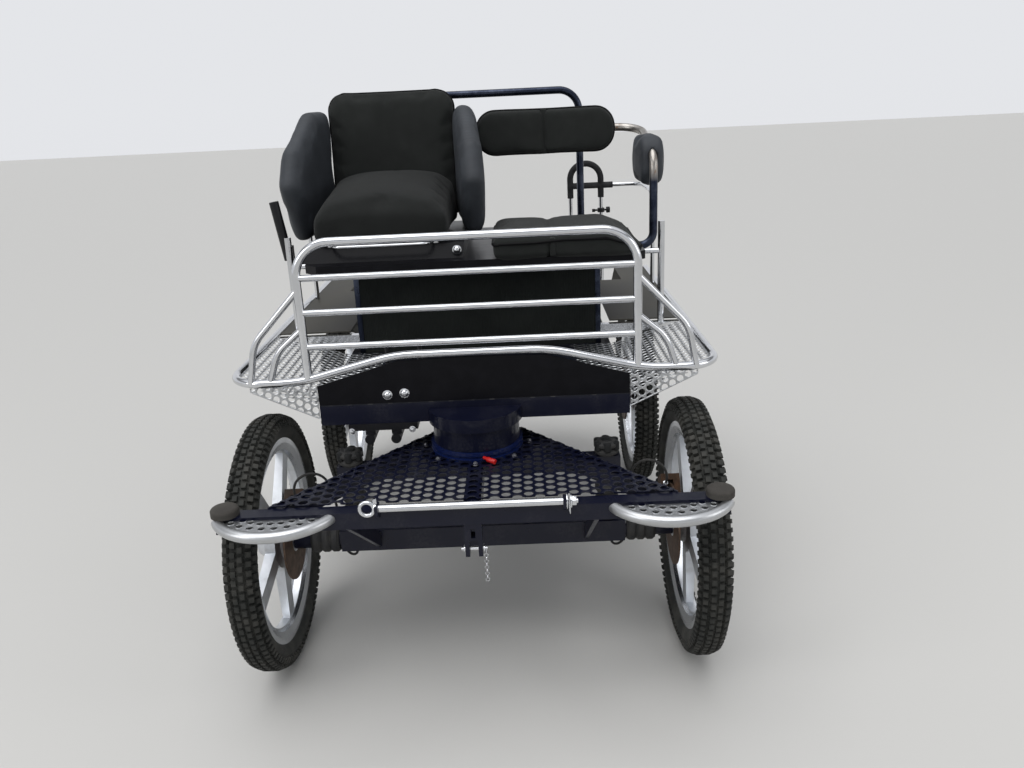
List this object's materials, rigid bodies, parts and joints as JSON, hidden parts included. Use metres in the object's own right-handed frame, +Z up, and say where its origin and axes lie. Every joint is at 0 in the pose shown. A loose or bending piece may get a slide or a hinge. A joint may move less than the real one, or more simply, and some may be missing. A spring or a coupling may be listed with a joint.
{
  "type": "horse drawn carriage",
  "caption": "Four-wheeled horse drawn carriage with a turntable front axle, perforated steps, a railed foot board, a driver's seat with bolsters, a passenger bench and a groom's platform.",
  "frame": {"origin": "on the ground under the centre of the bounding box", "axes": "the front, where the horse is harnessed, faces -Y; +X is the passenger's side, to the right of someone standing in front; +Z is up"},
  "size_m": [1.282, 1.9852, 1.506],
  "materials": {
    "navy_paint": "gloss navy blue paint on welded steel",
    "blue_ring": "gloss bright blue paint",
    "stainless": "polished stainless tube",
    "bright_plate": "bright perforated plate",
    "cast_alloy": "polished cast aluminium",
    "tyre": "black block tread",
    "rubber": "matt black rubber",
    "black_metal": "satin black paint",
    "charcoal_fabric": "charcoal woven fabric with black piping",
    "grey_leatherette": "dark grey leatherette",
    "black_carpet": "black carpet over a box",
    "black_plastic": "textured black plastic"
  },
  "bodies": {
    "carriage": {"brake_master": "black_metal", "brake_pedals": "black_metal", "chassis_frame": "navy_paint", "dash_rails": "stainless", "driver_back": "charcoal_fabric", "driver_bolsters": "grey_leatherette", "driver_cushion": "charcoal_fabric", "driver_seat_base": "black_metal", "driver_slide": "stainless", "floor_plate": "navy_paint", "foam_grips": "rubber", "front_panel": "navy_paint", "groom_handles": "stainless", "groom_platform": "navy_paint", "mudguards": "black_plastic", "passenger_back_pad": "charcoal_fabric", "passenger_cushion": "charcoal_fabric", "passenger_rail": "navy_paint", "rear_axle_beam": "navy_paint", "rear_brake_calipers": "black_metal", "rear_guide_arms": "navy_paint", "rear_hoop": "navy_paint", "rear_spring_units": "rubber", "rim_tube": "stainless", "seat_box": "black_carpet", "seat_platform": "navy_paint", "seat_stays": "stainless", "side_pad": "grey_leatherette", "turntable_drum": "navy_paint", "whip_holder": "black_metal", "wings": "bright_plate"},
    "front_axle": {"front_axle_beam": "navy_paint", "front_axle_boots": "rubber", "turntable_frame": "navy_paint", "step_deck": "navy_paint", "turntable_ring": "blue_ring", "half_moon_steps": "bright_plate", "step_buffers": "rubber", "pole_pin": "stainless", "pole_drop_bracket": "navy_paint", "front_spring_units": "rubber", "front_guide_arms": "navy_paint", "front_brake_calipers": "black_metal", "front_hose_left": "rubber", "front_hose_right": "rubber"},
    "wheel_front_left": {"front_left_wheel": "cast_alloy", "front_left_tyre": "tyre"},
    "wheel_front_right": {"front_right_wheel": "cast_alloy", "front_right_tyre": "tyre"},
    "wheel_rear_left": {"rear_left_wheel": "cast_alloy", "rear_left_tyre": "tyre"},
    "wheel_rear_right": {"rear_right_wheel": "cast_alloy", "rear_right_tyre": "tyre"}
  },
  "joints": [
    {"name": "steering", "type": "hinge", "parent": "carriage", "child": "front_axle", "pos_m": [0, -0.5354, 0.6], "axis": [0, 0, 1], "range_deg": [-60, 60]},
    {"name": "front_left_spin", "type": "hinge", "parent": "front_axle", "child": "wheel_front_left", "pos_m": [-0.565, -0.5354, 0.345], "axis": [1, 0, 0], "continuous": true},
    {"name": "front_right_spin", "type": "hinge", "parent": "front_axle", "child": "wheel_front_right", "pos_m": [0.565, -0.5354, 0.345], "axis": [1, 0, 0], "continuous": true},
    {"name": "rear_left_spin", "type": "hinge", "parent": "carriage", "child": "wheel_rear_left", "pos_m": [-0.565, 0.5646, 0.345], "axis": [1, 0, 0], "continuous": true},
    {"name": "rear_right_spin", "type": "hinge", "parent": "carriage", "child": "wheel_rear_right", "pos_m": [0.565, 0.5646, 0.345], "axis": [1, 0, 0], "continuous": true}
  ]
}
